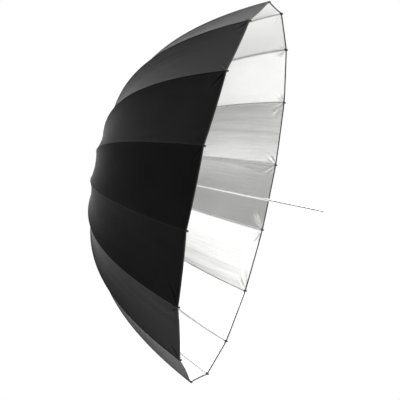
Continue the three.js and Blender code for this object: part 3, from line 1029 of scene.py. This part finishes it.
def gore_sheet(index):
    """Points of the two faces of a gore, with its places across and along."""
    random = np.random.default_rng(CLOTH_SEED + index)
    lengths, columns = gore_rows(), gore_columns()
    along, v = np.meshgrid(lengths, columns, indexing="ij")
    radius = radius_at(along)
    half = radius * math.sin(HALF_ANGLE)
    slope = dome_slope(radius) / math.cos(HALF_ANGLE)
    scale = 1 / np.hypot(slope, 1)
    outward_x, outward_z = -scale, slope * scale
    from_hem = SEAM_LENGTH - along
    left, right = (1 + v) * half, (1 - v) * half
    from_seam = np.minimum(left, right)
    sag = GORE_SAG * (1 - v ** 2) * smooth(0, 0.35, along)
    sag = sag * (1 - 0.55 * smooth(0.2, 0, from_hem))
    free = smooth(1.5 * MM, 14 * MM, from_seam)
    ripple = pleats(left, from_hem, random) + pleats(right, from_hem, random)
    ripple += pulls(v * half, along, random)
    lift = free * ripple - sag
    welt = 0.7 * MM * np.exp(-(from_seam / (1.3 * MM)) ** 2) * smooth(0.01, 0.05, along)
    hem = smooth(HEM_WIDTH + 0.6 * MM, HEM_WIDTH, from_hem)
    folded = 0.25 * MM * smooth(SEAM_FOLD, SEAM_FOLD - 1.5 * MM, from_seam)
    outer = lift + welt + 0.25 * MM * hem
    inner = lift - CLOTH - folded - 0.25 * MM * hem
    faces_at = []
    for height in (outer, inner):
        points = np.stack([
            dome_x(radius) + outward_x * height,
            v * half,
            radius * math.cos(HALF_ANGLE) + outward_z * height,
        ], axis=-1)
        faces_at.append(points)
    return faces_at[0], faces_at[1], v, v * half, along, from_seam


def make_gore(index):
    """One gore: a closed thin sheet, black outside, silver inside, bound at the hem."""
    outer, inner, v, across, along, from_seam = gore_sheet(index)
    rows, columns = v.shape
    count = rows * columns
    grid = np.arange(count).reshape(rows, columns)
    a, b = grid[:-1, :-1].ravel(), grid[1:, :-1].ravel()
    c, d = grid[1:, 1:].ravel(), grid[:-1, 1:].ravel()
    front = np.stack([a, b, c, d], axis=1)
    back = np.stack([a, d, c, b], axis=1) + count
    bound = np.repeat(SEAM_LENGTH - along[:-1, 0] < HEM_WIDTH + 1e-6, columns - 1)
    border = np.concatenate([
        grid[:-1, 0], grid[-1, :-1], grid[:0:-1, -1], grid[0, :0:-1]])
    following = np.roll(border, -1)
    rim = np.stack([border, border + count, following + count, following], axis=1)
    points = turned(np.concatenate([outer.reshape(-1, 3), inner.reshape(-1, 3)]),
                    gore_angle(index))
    faces = np.concatenate([front, back, rim]).tolist()
    kinds = np.concatenate([np.where(bound, 2, 0), np.where(bound, 2, 1), np.full(len(rim), 2)])
    piece = new_piece(f"gore_{number(index)}_cloth", points, faces,
                      [BLACK_CLOTH, SILVER_CLOTH, BINDING], kinds)
    outward(piece)
    flat_map(piece, "cut", across, along)
    flat_map(piece, "edges", from_seam, SEAM_LENGTH - along)
    sharp_edges(piece, 60)
    name = number(index)
    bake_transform(piece)
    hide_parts(f"gore_{name}")


def flat_map(piece, name, first, second):
    """A UV map in metres, from two measures at the places of the gore's rows and columns."""
    layer = piece.data.uv_layers.new(name=name)
    corners = np.zeros(len(piece.data.loops), np.int32)
    piece.data.loops.foreach_get("vertex_index", corners)
    places = np.stack([np.tile(first.ravel(), 2), np.tile(second.ravel(), 2)], axis=1)
    layer.data.foreach_set("uv", places[corners].ravel().astype(np.float32))


# --- camera, light and stage --------------------
# how bright the studio is, in parts of STUDIO_LIGHT. On the camera's side it is dark in a band
# at eye level (by a direction's z) and in a gap behind the camera (by its x). The side away
# from the camera is bright (by how far a direction points along BRIGHT_SIDE).
STUDIO_LIGHT = 1.7
BAND_STOPS = [
    (-0.95, 0.62), (-0.78, 0.6), (-0.6, 0.4), (-0.45, 0.21),
    (0.0, 0.19), (0.27, 0.2), (0.4, 0.75), (0.55, 0.92),
]
GAP_STOPS = [(-0.6, 1.0), (-0.45, 0.1), (0.0, 0.1), (0.25, 1.0)]
SIDE_STOPS = [(-0.25, 0.1), (0.1, 0.18), (0.5, 0.5), (0.75, 0.95), (0.88, 1.25), (1.0, 0.7)]
BRIGHT_SIDE = Vector((0.1, 0.93, 0.35)).normalized()
FLOOR_Z = CAD_BOX[0][2] - 0.6
FLOOR_PLACE = (-0.25, 0, FLOOR_Z)
FLOOR_RADIUS = 1.7
CAMERA_PLACE = (0.7271, -4.5135, 0.0732)
CAMERA_TURNS = (12.6, 1.49, 11.61)  # degrees of azimuth, elevation and roll
CAMERA_LENS = 123.12  # millimetres, on a 36 mm sensor


def make_camera():
    """The viewing angle: nearly level, a little in front of the rim, and rolled."""
    azimuth, elevation, roll = (math.radians(turn) for turn in CAMERA_TURNS)
    camera_data = bpy.data.cameras.new("camera")
    camera_data.sensor_width = 36
    camera_data.lens = CAMERA_LENS
    camera = bpy.data.objects.new("camera", camera_data)
    turn = (
        Matrix.Rotation(azimuth, 4, "Z")
        @ Matrix.Rotation(math.pi / 2 - elevation, 4, "X")
        @ Matrix.Rotation(roll, 4, "Z")
    )
    camera.matrix_world = Matrix.Translation(CAMERA_PLACE) @ turn
    bpy.context.scene.collection.objects.link(camera)
    bpy.context.scene.camera = camera


def area_light(name, place, target, size, power):
    light_data = bpy.data.lights.new(name, "AREA")
    light_data.shape = "DISK"
    light_data.size = size
    light_data.energy = power
    light = bpy.data.objects.new(name, light_data)
    light.location = place
    light.rotation_euler = (Vector(target) - Vector(place)).to_track_quat("-Z", "Y").to_euler()
    bpy.context.scene.collection.objects.link(light)


def world_ramp(tree, source, stops):
    """A soft ramp over one part of the view direction, from -1 to 1."""
    add, link = tree.nodes.new, tree.links.new
    spread = add("ShaderNodeMapRange")
    spread.inputs["From Min"].default_value = -1
    spread.inputs["From Max"].default_value = 1
    ramp = add("ShaderNodeValToRGB")
    ramp.color_ramp.interpolation = "B_SPLINE"
    while len(ramp.color_ramp.elements) < len(stops):
        ramp.color_ramp.elements.new(0.5)
    for element, (part, value) in zip(ramp.color_ramp.elements, stops):
        element.position = (part + 1) / 2
        element.color = (value, value, value, 1)
    link(source, spread.inputs["Value"])
    link(spread.outputs["Result"], ramp.inputs["Fac"])
    return ramp.outputs["Color"]


def world_mix(tree, kind, first, second):
    """The lighter or the darker of two colours."""
    add, link = tree.nodes.new, tree.links.new
    mix = add("ShaderNodeMix")
    mix.data_type = "RGBA"
    mix.blend_type = kind
    mix.inputs["Factor"].default_value = 1
    link(first, mix.inputs["A"])
    link(second, mix.inputs["B"])
    return mix.outputs["Result"]


def make_world():
    """A white studio with a dark band at eye level on the camera's side.

    The camera itself sees plain white behind the object."""
    world = bpy.data.worlds.new("studio")
    bpy.context.scene.world = world
    world.use_nodes = True
    tree = world.node_tree
    tree.nodes.clear()
    add, link = tree.nodes.new, tree.links.new
    place = add("ShaderNodeTexCoord")
    split = add("ShaderNodeSeparateXYZ")
    link(place.outputs["Generated"], split.inputs["Vector"])
    by_height = world_ramp(tree, split.outputs["Z"], BAND_STOPS)
    by_gap = world_ramp(tree, split.outputs["X"], GAP_STOPS)
    toward = add("ShaderNodeVectorMath")
    toward.operation = "DOT_PRODUCT"
    toward.inputs[1].default_value = BRIGHT_SIDE
    link(place.outputs["Generated"], toward.inputs[0])
    by_side = world_ramp(tree, toward.outputs["Value"], SIDE_STOPS)
    front = world_mix(tree, "DARKEN", by_height, by_gap)
    whole = world_mix(tree, "LIGHTEN", front, by_side)
    studio = add("ShaderNodeBackground")
    studio.inputs["Strength"].default_value = STUDIO_LIGHT
    backdrop = add("ShaderNodeBackground")
    backdrop.inputs["Color"].default_value = (1, 1, 1, 1)
    ray = add("ShaderNodeLightPath")
    mix = add("ShaderNodeMixShader")
    out = add("ShaderNodeOutputWorld")
    link(whole, studio.inputs["Color"])
    link(ray.outputs["Is Camera Ray"], mix.inputs["Fac"])
    link(studio.outputs["Background"], mix.inputs[1])
    link(backdrop.outputs["Background"], mix.inputs[2])
    link(mix.outputs["Shader"], out.inputs["Surface"])


def floor_paper():
    """White paper that melts into the backdrop away from the object."""
    look = material("floor_paper", (0.9, 0.9, 0.9), 0.9)
    shader = shader_of(look)
    shader.inputs["Emission Color"].default_value = (1, 1, 1, 1)
    shader.inputs["Emission Strength"].default_value = 0.28
    place = node(look, "ShaderNodeTexCoord")
    away = node(look, "ShaderNodeVectorMath", operation="LENGTH")
    fade = node(look, "ShaderNodeMapRange", From_Min=0.5, From_Max=1.6, To_Min=1.0, To_Max=0.0)
    fade.interpolation_type = "SMOOTHSTEP"
    wire(look, place, "Object", away, 0)
    wire(look, away, "Value", fade, "Value")
    wire(look, fade, "Result", shader, "Alpha")
    return look


def make_stage():
    """A round sheet of paper a little below the object."""
    turn = np.arange(64) * 2 * math.pi / 64
    points = [(FLOOR_RADIUS * math.cos(a), FLOOR_RADIUS * math.sin(a), 0) for a in turn]
    floor = new_piece("floor", points, [list(range(64))], [floor_paper()], flat=True)
    floor.location = FLOOR_PLACE


def make_lights():
    middle = (RIM_X - 0.2, 0, 0)
    area_light("top_softbox", (-0.2, 0.9, 2.6), middle, 1.8, 70)


def main():
    scene = bpy.context.scene
    scene.view_settings.view_transform = "Standard"
    make_camera()
    make_world()
    make_lights()
    make_stage()
    make_shaft()
    make_end_cap()
    make_crown()
    make_runner()
    make_wires()
    make_stop()
    make_catch()
    make_cap()
    make_washer()
    make_ribs()
    make_stretchers()
    for index in range(RIBS):
        make_gore(index)


main()
